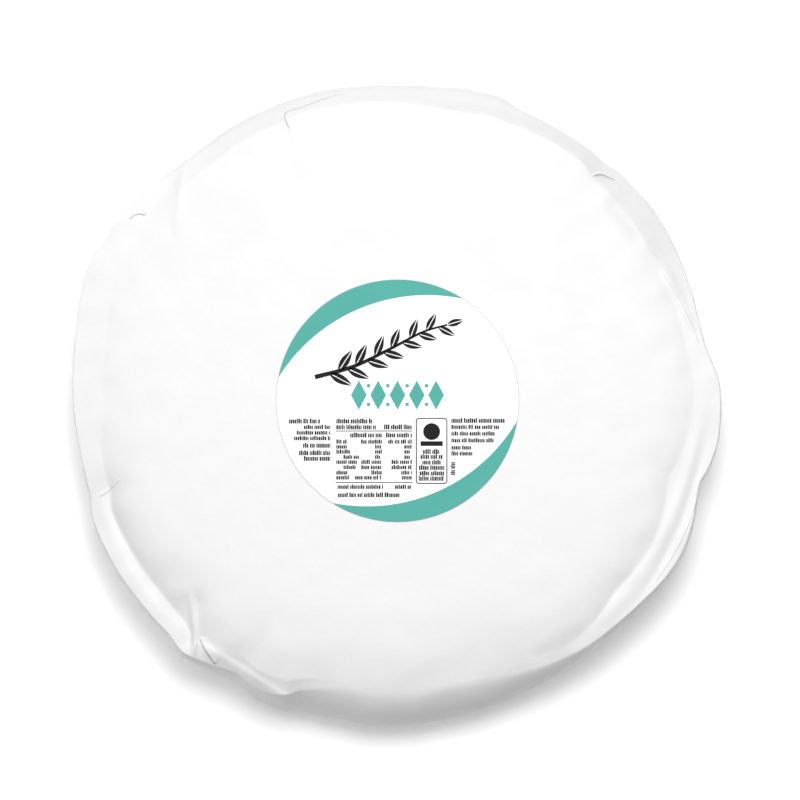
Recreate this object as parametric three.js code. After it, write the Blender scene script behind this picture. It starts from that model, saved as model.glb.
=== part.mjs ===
// A brie wheel, uncut, lying flat in the white paper that it is sold in, with a round label on top.
// The paper is smooth on top, comes down over the rim and is gathered in pleats on the wall and underside.
// Millimetres, +Z up. The origin is the middle of the underside: the wheel stands on z = 0.
// Angles are in degrees, counter-clockwise from +X as seen from above.
import * as THREE from 'three';

// Driving sizes
const HEIGHT = 31;
const LABEL_RADIUS = 39;
const LABEL_THICKNESS = 0.2;
const LABEL_EDGE = 0.06; // small chamfer round the label
const LABEL_SIDES = 96;

// The top is exactly flat as far as FLAT_RADIUS, where the relief fades in. From CROWN_START it falls to a
// crease near the rim. Outside the crease the paper makes a brim, and the shoulder turns down from there.
const FLAT_RADIUS = 56;
const RELIEF_FADE = 14;
const CROWN_START = 60;

// The underside: gathered layers make a flat disc that the wheel stands on. The rest lies a little higher.
const UNDER_LIFT = 1;
const GATHER_RADIUS = 36;
const GATHER_EDGE = 7;
const FOOT_REACH = 7;
const FOOT_ROUNDNESS = 2.2;

// The relief moves the top straight up. Over this share of the shoulder its way turns to the normal.
const NORMAL_TURN = 0.6;

// Pleats lean as they go down the wall, and swirl as they run in across the underside.
const WALL_LEAN = 7;
const UNDER_SWIRL = 22;
const PLEAT_TOP = 2.9; // level at which a pleat starts, where 3 is the widest place
const PLEAT_FULL = 3.8; // level at which it has its whole height
const STEP_ANGLE = 0.4; // half of the angle that a pleat's folded edge takes

// Outline from above: [angle, radius]. The paper bulges, runs in flat chords and kinks at its folds.
const OUTLINE = [
  [2.6, 104.5], [6.5, 102.8], [11.5, 101.1], [16, 101.2], [20, 102], [28, 103.2], [36, 104.2], [45, 104.5],
  [48.7, 103.9], [53, 104.8], [67, 104.5], [72.6, 106.2], [76, 106], [83, 104.8], [91, 104.4], [108, 105.3],
  [122, 105.1], [128, 104.5], [137, 105.5], [141.4, 106.8], [144.2, 106.7], [147.5, 107.8], [157, 109],
  [162, 108.1], [168, 106.3], [180, 104.9], [191, 103.7], [196.5, 103.8], [201, 105.6], [212, 105.9],
  [218, 105.6], [225, 105.7], [229.5, 107.2], [234, 105.9], [239.5, 104.3], [243, 105.8], [248.5, 106.2],
  [252, 104.2], [259, 103.6], [266, 104.6], [272, 104.1], [281, 102.9], [296, 102], [310, 101.6],
  [320, 102.7], [326, 104.1], [331.5, 104.7], [338, 103.4], [344.6, 101.6], [348, 103.2], [354, 104.7],
];

// Section of the rim at some angles: how wide the brim is outside the crease, how far the top falls to the
// crease and how late, the brim's slope, how far in the shoulder starts, how square it is (2 is an ellipse),
// and how high the widest place lies. A low widest place is paper drawn straight down.
const RIM = [
  // [angle, brim, fall, lateness, slope, reach, roundness, widest]
  [0, 9.6, 1, 6, 0.05, 0.8, 2, 21], [12, 6.5, 1.3, 7, 0.06, 0.8, 2, 21], [22, 7.2, 1.4, 7, 0.35, 1, 2, 20],
  [33, 8.6, 1.1, 7, 0.75, 1, 2, 18], [44, 8.4, 1.1, 8, 1, 1.2, 2, 17], [54, 6.8, 0.8, 8, 1.6, 1.6, 2, 16],
  [65, 7, 0.7, 8, 1.45, 2, 2, 16], [76, 9.6, 0.6, 8, 1.25, 2.6, 2, 15], [84, 8.2, 0.6, 8, 1.2, 3, 2, 15],
  [94, 7, 0.6, 8, 1.15, 3, 2, 16], [112, 7.4, 0.6, 8, 1.05, 3, 2, 16], [126, 7, 0.7, 6, 0.6, 2.2, 2, 19],
  [142, 8, 0.8, 6, 0.08, 0.8, 2, 21], [160, 10.5, 0.7, 6, 0.03, 0.6, 2, 21],
  [180, 10.5, 1.3, 5, 0.02, 0.6, 2, 21], [190, 7, 2.3, 6, 0.02, 0.6, 2, 21],
  [203, 7.2, 4.8, 8, 0, 0.7, 2, 20], [210, 7.6, 4.6, 7, 0, 0.8, 2, 19], [219, 7.8, 4.7, 5, 0, 0.9, 2, 18],
  [228, 7.4, 4.3, 4.5, 0.1, 1.2, 2, 17], [236, 7.6, 3.4, 4, 0.5, 2.4, 1.5, 13],
  [245, 8.8, 3.1, 3.4, 0.6, 3.4, 1.2, 9], [252, 10.6, 2.7, 3.1, 0.4, 7, 1.6, 8],
  [260, 12, 2.6, 3, 0.27, 10.6, 2.1, 8], [276, 12, 2.6, 3, 0.25, 11, 2.1, 8],
  [286, 11.3, 2.6, 3, 0.26, 10, 2.1, 9], [294, 8.8, 2.8, 3.2, 0.36, 7, 2, 11],
  [302, 6.2, 2.9, 4, 0.42, 4, 2, 14], [310, 6.6, 2.7, 5, 0.12, 2, 2, 17],
  [320, 9.8, 2.4, 6.5, 0.02, 1.6, 2, 19], [335, 11, 1.8, 6, 0.02, 1.3, 2, 20],
  [350, 10.9, 1.3, 6, 0.04, 1, 2, 21],
];

// Pleats: [angle of the folded edge, side that its layer lies on, height, width of the layer].
// Side 1 is counter-clockwise of the edge, and side -1 is clockwise of it.
const PLEATS = [
  [10.5, -1, 1.1, 17], [48.7, 1, 1, 16], [79, 1, 0.9, 15], [111, -1, 1.1, 18], [144, 1, 1.2, 16],
  [170, 1, 0.9, 14], [197, 1, 1.1, 16], [229, -1, 1.3, 15], [252, -1, 1.2, 16], [279, 1, 0.9, 15],
  [300, 1, 1, 14], [321, 1, 1, 14], [344.6, 1, 1.1, 16],
];

// Ridges (height above 0) and hollows (below 0) of the paper, along lines seen from above. Each has a half
// width on the left and on the right of its line, and dies away towards the line's ends.
const FOLDS = [
  // Lower right: a long ridge, and a hollow between it and the border
  {
    left: 2.6, right: 2.2, height: 0.4,
    line: [[99, 8], [97, -10], [94, -22], [88.3, -37.5], [82.5, -48.5], [74.5, -60], [65, -73], [58, -82]],
  },
  {
    left: 2, right: 2, height: -0.4,
    line: [[100, -6], [97.5, -18], [94.7, -27.9], [91.1, -39.3], [82.8, -55.7], [78.3, -62.9], [71, -70]],
  },
  // Bottom right: where the shoulder begins to round off
  { left: 3, right: 3, height: -0.5, line: [[40, -84], [50, -80], [62, -73.5]] },
  // Lower left: a low ridge along the brim
  {
    left: 2, right: 2.6, height: 0.35,
    line: [[-99, -22], [-94.5, -36], [-87, -53.5], [-78, -66.5], [-67, -76]],
  },
  // The corner: a sharp crease out over the shoulder, in a hollow
  { left: 4, right: 5, height: -0.8, line: [[-65.5, -60], [-64.3, -66], [-64.2, -72], [-65, -82]] },
  {
    left: 1.5, right: 1.5, height: 1.3,
    line: [[-65.5, -57], [-64.3, -63], [-64.2, -70], [-64.4, -78], [-66, -84]],
  },
  // Right of the corner: the border of the folded layer
  {
    left: 1.8, right: 2, height: 0.7,
    line: [[-68, -74.5], [-61, -79.3], [-46.9, -88.3], [-37.9, -94.1], [-26, -100]],
  },
  // Upper left: a straight facet, and a ridge running in
  { left: 1.5, right: 1.5, height: 0.5, line: [[-69, 79], [-69.7, 73], [-70.9, 58], [-71.3, 52]] },
  { left: 4.5, right: 4.5, height: -0.6, line: [[-68, 75], [-75, 68], [-85, 54], [-89, 48]] },
  // Upper right: a hollow along the bevelled edge, a dip past the pinched fold, and a low streak
  {
    left: 2.4, right: 2.4, height: -1.1,
    line: [[0, 99.5], [10.3, 98.5], [25.9, 96.8], [42.9, 92.1], [56.4, 86.8], [67.5, 80.4], [75, 75]],
  },
  { left: 3, right: 3, height: -0.9, line: [[68, 67], [72, 61.5], [76.5, 56], [80, 51]] },
  { left: 1.5, right: 1.5, height: 0.5, line: [[84, 48], [86, 43.7], [94.1, 26], [96, 21]] },
];
const FOLD_TAPER = 0.25; // share of a fold's line over which it grows at either end

// Edges of folded layers on the shoulder: the layer lies on the left of the line and thins away from it.
const LAYERS = [
  { height: 0.3, width: 10, line: [[-14, 101], [-24.7, 97.3], [-36.3, 92.8], [-35, 87.4]] },
];
const LAYER_STEP = 0.8; // width of the step at a layer's edge

// Broad, faint swells of the top outside the flat: [x, y, radius, height].
const SWELLS = [[20, 72, 26, -0.3], [-62, 34, 30, -0.35], [-10, -76, 30, 0.15], [72, 12, 24, 0.15]];

// Facets
const CROWN_RINGS = 11;
const CROWN_CROWDING = 1.7; // how much closer the rings lie towards the crease
const BRIM_RINGS = 4;
const SHOULDER_RINGS = 8;
const FOOT_RINGS = 7;
const UNDER_RINGS = 8;
const STATION_ANGLE = 2.8;

const radians = THREE.MathUtils.degToRad;
const clamp = THREE.MathUtils.clamp;
const wrap = (angle) => THREE.MathUtils.euclideanModulo(angle, 360);

function ease(value) {
  const x = clamp(value, 0, 1);
  return x * x * (3 - 2 * x);
}

// A value that varies smoothly round the wheel, through rows of [angle, value, ...], without overshoot.
function roundTheWheel(rows, column) {
  const count = rows.length;
  const gaps = rows.map((row, i) => wrap(rows[(i + 1) % count][0] - row[0]));
  const rises = rows.map((row, i) => (rows[(i + 1) % count][column] - row[column]) / gaps[i]);
  const slopes = rises.map((after, i) => {
    const before = rises[(i + count - 1) % count];
    return before * after <= 0 ? 0 : (2 * before * after) / (before + after);
  });
  return (angle) => {
    const i = rows.findIndex((row, k) => wrap(angle - row[0]) < gaps[k]);
    const gap = gaps[i];
    const u = wrap(angle - rows[i][0]) / gap;
    const start = (1 + 2 * u) * (1 - u) ** 2 * rows[i][column] + u * (1 - u) ** 2 * gap * slopes[i];
    const next = (i + 1) % count;
    return start + u * u * (3 - 2 * u) * rows[next][column] + u * u * (u - 1) * gap * slopes[next];
  };
}

const outlineRadius = roundTheWheel(OUTLINE, 1);
const rimBrim = roundTheWheel(RIM, 1);
const rimFall = roundTheWheel(RIM, 2);
const rimLateness = roundTheWheel(RIM, 3);
const rimSlope = roundTheWheel(RIM, 4);
const rimReach = roundTheWheel(RIM, 5);
const rimRoundness = roundTheWheel(RIM, 6);
const rimWidest = roundTheWheel(RIM, 7);

// Distance in plan from a point to a bent line, 1 on the left of it or -1 on the right, and the share of the
// line's length up to the nearest place
function fromLine(x, y, line) {
  let distance = Infinity;
  let side = 1;
  let passed = 0;
  let gone = 0;
  for (let i = 0; i + 1 < line.length; i += 1) {
    const [ax, ay] = line[i];
    const length = Math.hypot(line[i + 1][0] - ax, line[i + 1][1] - ay);
    const alongX = (line[i + 1][0] - ax) / length;
    const alongY = (line[i + 1][1] - ay) / length;
    const along = clamp((x - ax) * alongX + (y - ay) * alongY, 0, length);
    const here = Math.hypot(x - ax - along * alongX, y - ay - along * alongY);
    if (here < distance) {
      distance = here;
      side = Math.sign(alongX * (y - ay) - alongY * (x - ax)) || 1;
      gone = passed + along;
    }
    passed += length;
  }
  return [distance, side, gone / passed];
}

// The covering surface of the top: flat, falling to the crease, and sloping on from there to the outline
function coverHeight(angle, r) {
  const crease = outlineRadius(angle) - rimBrim(angle);
  const share = clamp((r - CROWN_START) / (crease - CROWN_START), 0, 1);
  return HEIGHT - rimFall(angle) * share ** rimLateness(angle) - rimSlope(angle) * Math.max(r - crease, 0);
}

// The plain section at an angle, as [distance from the axis, height]. The level runs from 0 at the middle of
// the top over 1, the crease, 2, where the shoulder starts, 3, the widest place, and 4, the foot, to 5 under
// the middle.
function section(angle, level) {
  const radius = outlineRadius(angle);
  const crease = radius - rimBrim(angle);
  const shoulder = radius - rimReach(angle);
  const widest = rimWidest(angle);
  if (level <= 2) {
    const r = level <= 1 ? crease * level : crease + (shoulder - crease) * (level - 1);
    return [r, coverHeight(angle, r)];
  }
  if (level <= 3) {
    const turn = ((level - 2) * Math.PI) / 2;
    const power = 2 / rimRoundness(angle);
    const r = shoulder + (radius - shoulder) * Math.sin(turn) ** power;
    return [r, widest + (coverHeight(angle, r) - widest) * Math.cos(turn) ** power];
  }
  if (level <= 4) {
    const turn = ((level - 3) * Math.PI) / 2;
    const power = 2 / FOOT_ROUNDNESS;
    const r = radius - FOOT_REACH + FOOT_REACH * Math.cos(turn) ** power;
    return [r, UNDER_LIFT + (widest - UNDER_LIFT) * (1 - Math.sin(turn) ** power)];
  }
  return [(radius - FOOT_REACH) * (5 - level), UNDER_LIFT];
}

// Folds and layers of the shoulder, which die away below the widest place
function shoulderRelief(x, y, level) {
  if (level > 3.7) return 0;
  let height = 0;
  for (const fold of FOLDS) {
    const [distance, side, gone] = fromLine(x, y, fold.line);
    const width = side > 0 ? fold.left : fold.right;
    const taper = ease(gone / FOLD_TAPER) * ease((1 - gone) / FOLD_TAPER);
    height += fold.height * taper * Math.exp(-((distance / width) ** 2));
  }
  for (const layer of LAYERS) {
    const [distance, side] = fromLine(x, y, layer.line);
    const step = ease(0.5 + (side * distance) / LAYER_STEP);
    height += layer.height * step * Math.exp(-((distance / layer.width) ** 2));
  }
  for (const [swellX, swellY, size, swell] of SWELLS) {
    height += swell * Math.exp(-((x - swellX) ** 2 + (y - swellY) ** 2) / size ** 2);
  }
  const outsideFlat = ease((Math.hypot(x, y) - FLAT_RADIUS) / RELIEF_FADE);
  return height * outsideFlat * ease((3.7 - level) / 0.9);
}

// Height of the pleats. The angle is the one at the top of the pleats, before they lean.
function pleatRelief(angle, level, r) {
  const grown = ease((level - PLEAT_TOP) / (PLEAT_FULL - PLEAT_TOP));
  let height = 0;
  for (const [edge, side, rise, width] of PLEATS) {
    const turned = wrap(side * (angle - edge) + 180) - 180;
    const step = ease(0.5 + turned / (2 * STEP_ANGLE));
    height = Math.max(height, rise * step * Math.exp(-((turned / width) ** 2)));
  }
  const pleats = grown * height;
  if (level <= 4) return pleats;
  const gathered = 1 - ease((r - GATHER_RADIUS) / GATHER_EDGE);
  return Math.min(UNDER_LIFT, Math.max(pleats, UNDER_LIFT * gathered));
}

function lean(level) {
  return WALL_LEAN * ease((level - PLEAT_TOP) / (4 - PLEAT_TOP)) + UNDER_SWIRL * ease(level - 4);
}

// A point of the wrapped wheel: the plain section, moved by the relief. The top moves straight up, and the
// wall and underside move out along the section's own normal.
function surfacePoint(station, level) {
  const angle = station + lean(level);
  const reach = 1e-3;
  const [r, z] = section(angle, level);
  const [r1, z1] = section(angle, Math.max(level - reach, 0));
  const [r2, z2] = section(angle, Math.min(level + reach, 5));
  const length = Math.hypot(r2 - r1, z2 - z1);
  const turn = radians(angle);
  const shoulder = shoulderRelief(r * Math.cos(turn), r * Math.sin(turn), level);
  const relief = shoulder + pleatRelief(station, level, r);
  const turned = ease((level - 2) / NORMAL_TURN);
  const out = r - ((turned * (z2 - z1)) / length) * relief;
  const up = z + (1 - turned + (turned * (r2 - r1)) / length) * relief;
  return [out * Math.cos(turn), out * Math.sin(turn), Math.max(0, up)];
}

// Angles of the facets' edges: two at each pleat's folded edge, and even steps from one pleat to the next.
function stationAngles() {
  const angles = [];
  PLEATS.forEach(([edge], i) => {
    const start = edge + STEP_ANGLE;
    const gap = wrap(PLEATS[(i + 1) % PLEATS.length][0] - edge) - 2 * STEP_ANGLE;
    const steps = Math.round(gap / STATION_ANGLE);
    for (let k = 0; k <= steps; k += 1) angles.push(start + (gap * k) / steps);
  });
  return angles;
}

function levels() {
  const list = [];
  for (let i = 1; i <= CROWN_RINGS; i += 1) list.push(1 - (1 - i / CROWN_RINGS) ** CROWN_CROWDING);
  for (let i = 1; i <= BRIM_RINGS; i += 1) list.push(1 + i / BRIM_RINGS);
  for (let i = 1; i <= SHOULDER_RINGS; i += 1) list.push(2 + i / SHOULDER_RINGS);
  for (let i = 1; i <= FOOT_RINGS; i += 1) list.push(3 + i / FOOT_RINGS);
  for (let i = 1; i < UNDER_RINGS; i += 1) list.push(4 + i / UNDER_RINGS);
  return list;
}

// The paper's outer face all round, closed at the middle of the top and of the underside
function wheelGeometry() {
  const stations = stationAngles();
  const rings = levels();
  const count = stations.length;
  const positions = [0, 0, HEIGHT];
  for (const level of rings) {
    for (const station of stations) positions.push(...surfacePoint(station, level));
  }
  positions.push(0, 0, 0);
  const indices = [];
  const last = rings.length * count + 1;
  for (let j = 0; j < count; j += 1) {
    const next = (j + 1) % count;
    indices.push(0, 1 + j, 1 + next);
    for (let i = 0; i + 1 < rings.length; i += 1) {
      const upper = 1 + i * count;
      const lower = upper + count;
      indices.push(upper + j, lower + j, lower + next, upper + j, lower + next, upper + next);
    }
    indices.push(last, last - count + next, last - count + j);
  }
  const geometry = new THREE.BufferGeometry();
  geometry.setAttribute('position', new THREE.Float32BufferAttribute(positions, 3));
  geometry.setIndex(indices);
  return geometry;
}

function labelGeometry() {
  const profile = [
    new THREE.Vector2(0, 0),
    new THREE.Vector2(LABEL_RADIUS, 0),
    new THREE.Vector2(LABEL_RADIUS, LABEL_THICKNESS - LABEL_EDGE),
    new THREE.Vector2(LABEL_RADIUS - LABEL_EDGE, LABEL_THICKNESS),
    new THREE.Vector2(0, LABEL_THICKNESS),
  ];
  return new THREE.LatheGeometry(profile, LABEL_SIDES).rotateX(Math.PI / 2);
}

function part(name, geometry, color, roughness) {
  const mesh = new THREE.Mesh(geometry, new THREE.MeshStandardMaterial({ color, roughness, metalness: 0 }));
  mesh.name = name;
  return mesh;
}

const wheel = wheelGeometry();
wheel.computeBoundingBox();
const middle = wheel.boundingBox.getCenter(new THREE.Vector3());
wheel.translate(-middle.x, -middle.y, 0);

const label = part('label', labelGeometry(), 0xfbfbfb, 0.45);
label.position.set(-middle.x, -middle.y, HEIGHT);

const brieWheel = new THREE.Group();
brieWheel.add(part('wrapped_wheel', wheel, 0xf3f3f2, 0.55), label);

export default brieWheel;
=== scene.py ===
# A whole brie wheel, shut in pleated white paper, with a round printed label on top.
# Lengths in the tables are millimetres. Angles are degrees, counter-clockwise from +X seen from above.
# The wheel's middle, where its label is centred, is the origin of the tables.
import math
import random

import bmesh
import bpy
import numpy as np
from mathutils import Matrix, Vector
from mathutils.bvhtree import BVHTree


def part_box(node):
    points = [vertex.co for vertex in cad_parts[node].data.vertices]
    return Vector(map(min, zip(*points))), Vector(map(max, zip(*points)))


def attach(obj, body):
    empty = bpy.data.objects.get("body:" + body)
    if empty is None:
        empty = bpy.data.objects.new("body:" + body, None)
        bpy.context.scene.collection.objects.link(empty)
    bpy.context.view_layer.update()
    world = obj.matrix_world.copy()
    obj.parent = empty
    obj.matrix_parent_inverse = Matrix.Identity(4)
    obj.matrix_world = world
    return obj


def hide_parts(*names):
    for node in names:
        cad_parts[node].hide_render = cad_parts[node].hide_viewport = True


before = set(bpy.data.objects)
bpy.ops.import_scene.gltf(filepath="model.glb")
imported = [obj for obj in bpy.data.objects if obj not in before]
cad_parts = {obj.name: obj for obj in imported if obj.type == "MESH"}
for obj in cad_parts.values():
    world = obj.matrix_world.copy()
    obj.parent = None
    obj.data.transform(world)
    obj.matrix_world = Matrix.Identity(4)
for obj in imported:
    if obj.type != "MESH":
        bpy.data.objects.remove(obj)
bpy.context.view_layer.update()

MM = 0.001
WHEEL_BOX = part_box("wrapped_wheel")
LABEL_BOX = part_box("label")

# Sizes that the frame gives
HEIGHT = LABEL_BOX[0][2] / MM
LABEL_RADIUS = (LABEL_BOX[1][0] - LABEL_BOX[0][0]) / 2 / MM
LABEL_TOP = LABEL_BOX[1][2] / MM
CENTRE = [(LABEL_BOX[0][i] + LABEL_BOX[1][i]) / 2 / MM for i in (0, 1)]

# The wheel's driving sizes. The top is flat as far as FLAT_RADIUS, where the relief fades in, and from
# CROWN_START it falls to a crease near the rim.
FLAT_RADIUS = 56
RELIEF_FADE = 14
CROWN_START = 60
# The underside: gathered layers make a flat disc, and the rest lies a little higher
UNDER_LIFT = 1
GATHER_RADIUS = 36
GATHER_EDGE = 7
FOOT_REACH = 7
FOOT_ROUNDNESS = 2.2
# The relief moves the top straight up, and over this share of the shoulder its way turns to the normal
NORMAL_TURN = 0.6
# Pleats lean on the wall and swirl in under the wheel. They start and are full at the levels given, and
# their edges rise over twice STEP_ANGLE.
WALL_LEAN = 7
UNDER_SWIRL = 22
PLEAT_TOP = 2.9
PLEAT_FULL = 3.8
STEP_ANGLE = 0.16
# Levels where the folds and the ripples have died away, and how long that takes
FOLDS_END = 3.7
FOLDS_FADE = 0.9
RIPPLES_END = 4.6
RIPPLES_FADE = 0.6
# A step of the level that is short enough to give the section's slope
LEVEL_STEP = 1e-3

# Outline from above: angle, radius
OUTLINE = [
    (2.6, 104.5), (6.5, 102.8), (11.5, 101.1), (16, 101.2), (20, 102), (28, 103.2), (36, 104.2),
    (45, 104.5), (48.7, 103.9), (53, 104.8), (67, 104.5), (72.6, 106.2), (76, 106), (83, 104.8),
    (91, 104.4), (108, 105.3), (122, 105.1), (128, 104.5), (137, 105.5), (141.4, 106.8), (144.2, 106.7),
    (147.5, 107.8), (157, 109), (162, 108.1), (168, 106.3), (180, 104.9), (191, 103.7), (196.5, 103.8),
    (201, 105.6), (212, 105.9), (218, 105.6), (225, 105.7), (229.5, 107.2), (234, 105.9),
    (239.5, 104.3), (243, 105.8), (248.5, 106.2), (252, 104.2), (259, 103.6), (266, 104.6),
    (272, 104.1), (281, 102.9), (296, 102), (310, 101.6), (320, 102.7), (326, 104.1), (331.5, 104.7),
    (338, 103.4), (344.6, 101.6), (348, 103.2), (354, 104.7),
]

# Section of the rim: angle, width of the brim outside the crease, how far the top falls to the crease,
# how late it falls, the brim's slope, how far in the shoulder starts, its roundness (2 is an ellipse),
# height of the widest place
RIM = [
    (0, 9.6, 1, 6, 0.05, 0.8, 2, 21), (12, 6.5, 1.3, 7, 0.06, 0.8, 2, 21),
    (22, 7.2, 1.4, 7, 0.35, 1, 2, 20), (33, 8.6, 1.1, 7, 0.75, 1, 2, 18),
    (44, 8.4, 1.1, 8, 1, 1.2, 2, 17), (54, 6.8, 0.8, 8, 1.6, 1.6, 2, 16),
    (65, 7, 0.7, 8, 1.45, 2, 2, 16), (76, 9.6, 0.6, 8, 1.25, 2.6, 2, 15),
    (84, 8.2, 0.6, 8, 1.2, 3, 2, 15), (94, 7, 0.6, 8, 1.15, 3, 2, 16),
    (112, 7.4, 0.6, 8, 1.05, 3, 2, 16), (126, 7, 0.7, 6, 0.6, 2.2, 2, 19),
    (142, 8, 0.8, 6, 0.08, 0.8, 2, 21), (160, 10.5, 0.7, 6, 0.03, 0.6, 2, 21),
    (180, 10.5, 1.3, 5, 0.02, 0.6, 2, 21), (190, 7, 2.3, 6, 0.02, 0.6, 2, 21),
    (203, 7.2, 4.8, 8, 0, 0.7, 2, 20), (210, 7.6, 4.6, 7, 0, 0.8, 2, 19),
    (219, 7.8, 4.7, 5, 0, 0.9, 2, 18), (228, 7.4, 4.3, 4.5, 0.1, 1.2, 2, 17),
    (236, 7.6, 3.4, 4, 0.5, 2.4, 1.5, 13), (245, 8.8, 3.1, 3.4, 0.6, 3.4, 1.2, 9),
    (252, 10.6, 2.7, 3.1, 0.4, 7, 1.6, 8), (260, 12, 2.6, 3, 0.27, 10.6, 2.1, 8),
    (276, 12, 2.6, 3, 0.25, 11, 2.1, 8), (286, 11.3, 2.6, 3, 0.26, 10, 2.1, 9),
    (294, 8.8, 2.8, 3.2, 0.36, 7, 2, 11), (302, 6.2, 2.9, 4, 0.42, 4, 2, 14),
    (310, 6.6, 2.7, 5, 0.12, 2, 2, 17), (320, 9.8, 2.4, 6.5, 0.02, 1.6, 2, 19),
    (335, 11, 1.8, 6, 0.02, 1.3, 2, 20), (350, 10.9, 1.3, 6, 0.04, 1, 2, 21),
]

# Pleats: angle of the folded edge, side of it that the layer lies on, height, width of the layer
PLEATS = [
    (10.5, -1, 1.1, 17), (48.7, 1, 1, 16), (79, 1, 0.9, 15), (111, -1, 1.1, 18), (144, 1, 1.2, 16),
    (170, 1, 0.9, 14), (197, 1, 1.1, 16), (229, -1, 1.3, 15), (252, -1, 1.2, 16), (279, 1, 0.9, 15),
    (300, 1, 1, 14), (321, 1, 1, 14), (344.6, 1, 1.1, 16),
]

# Ridges and hollows of the paper: half width on the left and on the right of the line, height,
# line as seen from above
FOLDS = [
    # Lower right: a long ridge, and a hollow between it and the border
    (2.4, 2, 0.32, [(99, 8), (97, -10), (94, -22), (88.3, -37.5), (82.5, -48.5), (74.5, -60), (65, -73),
                    (58, -82)]),
    (1.6, 1.6, -0.36, [(100, -6), (97.5, -18), (94.7, -27.9), (91.1, -39.3), (82.8, -55.7), (78.3, -62.9),
                       (71, -70)]),
    # Bottom right: where the shoulder begins to round off
    (3, 3, -0.5, [(40, -84), (50, -80), (62, -73.5)]),
    # Lower left: a low ridge along the brim
    (2, 2.6, 0.35, [(-99, -22), (-94.5, -36), (-87, -53.5), (-78, -66.5), (-67, -76)]),
    # The corner: a sharp crease out over the shoulder, in a hollow
    (4, 5, -0.8, [(-66.5, -60), (-65.8, -66), (-65.2, -72), (-65.5, -82)]),
    (0.9, 0.9, 1.1, [(-66.6, -60), (-66, -66), (-65.2, -73), (-65, -78), (-66, -84)]),
    # Right of the corner: the border of the folded layer
    (1.4, 2, 0.6, [(-68, -74.5), (-61, -79.3), (-46.9, -88.3), (-37.9, -94.1), (-26, -100)]),
    # Upper left: a straight facet, and a ridge running in
    (1.2, 1.2, 0.5, [(-69, 79), (-69.7, 73), (-70.9, 58), (-71.3, 52)]),
    (4.5, 4.5, -0.6, [(-68, 75), (-75, 68), (-85, 54), (-89, 48)]),
    # Upper right: a hollow along the bevelled edge, a dip past the pinched fold, and a low streak
    (2.4, 2.4, -1.1, [(0, 99.5), (10.3, 98.5), (25.9, 96.8), (42.9, 92.1), (56.4, 86.8), (67.5, 80.4),
                      (75, 75)]),
    (3, 3, -0.9, [(68, 67), (72, 61.5), (76.5, 56), (80, 51)]),
    (1.4, 1.4, 0.5, [(84, 48), (86, 43.7), (94.1, 26), (96, 21)]),
]
# Share of a line's length over which a fold grows from its end
FOLD_TAPER = 0.25

# Edges of layers on the shoulder: height, width, line with the layer on its left. The edge rises over
# LAYER_STEP.
LAYERS = [
    (0.3, 10, [(-14, 101), (-24.7, 97.3), (-36.3, 92.8), (-35, 87.4)]),
]
LAYER_STEP = 0.7

# Broad, faint swells of the top: x, y, radius, height
SWELLS = [(20, 72, 26, -0.3), (-62, 34, 30, -0.35), (-10, -76, 30, 0.15), (72, 12, 24, 0.15)]

# Folded layers that lie on the paper: how far the free edge lifts, the free edge, and the edge where
# the layer comes out of the paper
FLAPS = [
    # The end of the folded layer at the lower left corner
    (0.6, [(-63.6, -75.5), (-62, -78.8), (-60, -81.8), (-58, -84.6)],
     [(-60, -74.5), (-58.5, -77.5), (-56.5, -80), (-55, -82)]),
    # The square-cut layer at the upper left
    (0.5, [(-34.8, 87.4), (-36.2, 92.8), (-31.1, 94.7), (-24.7, 97.3), (-16.7, 99.8)],
     [(-32.5, 87.4), (-30.5, 90.5), (-27, 92), (-22, 94), (-15.5, 97.5)]),
    # Pinches at the upper right and the upper left
    (0.6, [(62.5, 72.5), (66, 73.2), (70.5, 71.5)], [(62.8, 74.4), (66, 76.2), (70, 74.5)]),
    (0.6, [(-86.5, 58.5), (-84, 60.3), (-81, 60)], [(-85.8, 61.5), (-83, 63), (-80.3, 61.5)]),
    # A short fold at the left, where a pleat of the wall starts
    (0.2, [(-96, -31), (-92.5, -28.6), (-88.5, -25)], [(-97, -28.5), (-92, -25.5), (-89, -23.8)]),
    # The layers that end at the right
    (0.3, [(97.5, 17.5), (94.5, 25), (90, 34), (84, 43.5)],
     [(95.5, 16), (91.5, 24), (87.5, 32.5), (83, 41.5)]),
    (0.12, [(97.5, -27), (93.8, -39), (88, -50.5), (81.5, -60)],
     [(95, -26), (91, -37.5), (85.5, -49), (80, -58)]),
]
# Thickness of such a layer, how deep its fixed edge is sunk, how its lift curves, the share of the lift
# that is left at its ends, the share of its length where that falls off, and its facets
FLAP_SHEET = 0.25
FLAP_SINK = 0.15
FLAP_CURL = 1.4
FLAP_END_LIFT = 0.15
FLAP_END = 0.12
FLAP_STEPS = 60
FLAP_ROWS = 10
# A place that lies off the rim is drawn in by this share at a time, as far as the limit
LAND_STEP = 0.002
LAND_LIMIT = 0.9

# Fine wrinkles of the wall: how many, and the ranges of the level where they start, of half width, of
# height, and of drift in degrees a level. They grow over WRINKLE_GROWTH of the level, and fade over
# WRINKLE_FADE to nothing at WRINKLE_END.
WRINKLE_SEED = 7
WRINKLES = 110
WRINKLE_TOP = (2.1, 2.9)
WRINKLE_WIDTH = (0.6, 1.8)
WRINKLE_HEIGHT = (-0.3, 0.3)
WRINKLE_DRIFT = (-3, 3)
WRINKLE_GROWTH = 0.8
WRINKLE_END = 4.9
WRINKLE_FADE = 0.9

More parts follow.
